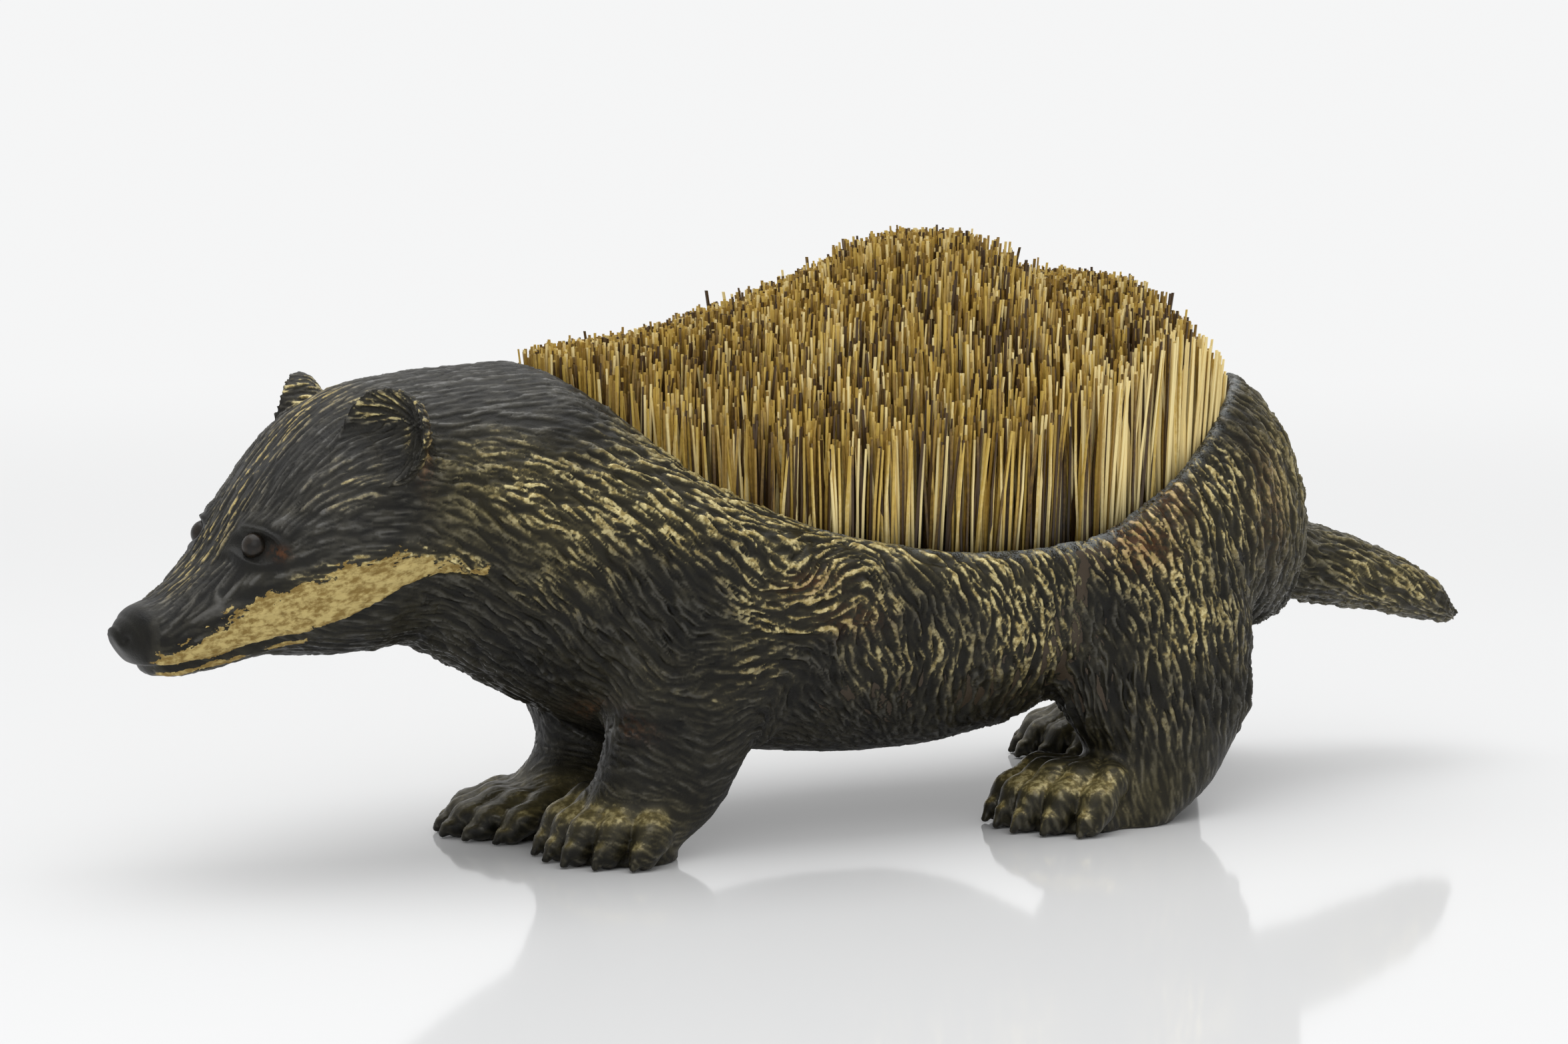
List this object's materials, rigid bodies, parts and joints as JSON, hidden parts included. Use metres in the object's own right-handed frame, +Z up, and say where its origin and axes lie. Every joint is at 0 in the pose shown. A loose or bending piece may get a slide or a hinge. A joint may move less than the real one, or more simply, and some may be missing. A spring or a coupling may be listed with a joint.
{
  "type": "pen wipe",
  "caption": "Desk pen wipe: a cast, painted bronze badger standing with its head low, its open back holding a large lift-out bristle brush.",
  "frame": {"origin": "on the floor, under the middle of the overall length and width", "axes": "+Z up, +X from the nose towards the tail, -Y on the badger's left side"},
  "size_m": [0.15, 0.0488, 0.0562],
  "materials": {
    "painted_bronze": "dark patina and worn cold paint over cast fur",
    "plain_bronze": "drawn, satin",
    "eye_bead": "glossy black enamel",
    "stock_wood": "plain, unvarnished",
    "brush_pitch": "black brush pitch",
    "bristle": "stiff natural bristle, straw to brown"
  },
  "bodies": {
    "badger": {"trunk": "painted_bronze", "head": "painted_bronze", "left_ear": "painted_bronze", "right_ear": "painted_bronze", "left_fore_leg": "painted_bronze", "right_fore_leg": "painted_bronze", "left_hind_leg": "painted_bronze", "right_hind_leg": "painted_bronze", "tail": "painted_bronze", "left_eye": "eye_bead", "right_eye": "eye_bead", "neck_dowel": "plain_bronze", "tail_dowel": "plain_bronze"},
    "brush": {"brush_stock": "stock_wood", "pitch_bed": "brush_pitch", "front_bristles": "bristle", "crest_bristles": "bristle", "rear_bristles": "bristle"}
  },
  "joints": [
    {"name": "brush_lift", "type": "slide", "parent": "badger", "child": "brush", "axis": [0, 0, 1], "range_m": [0, 0.03]}
  ]
}
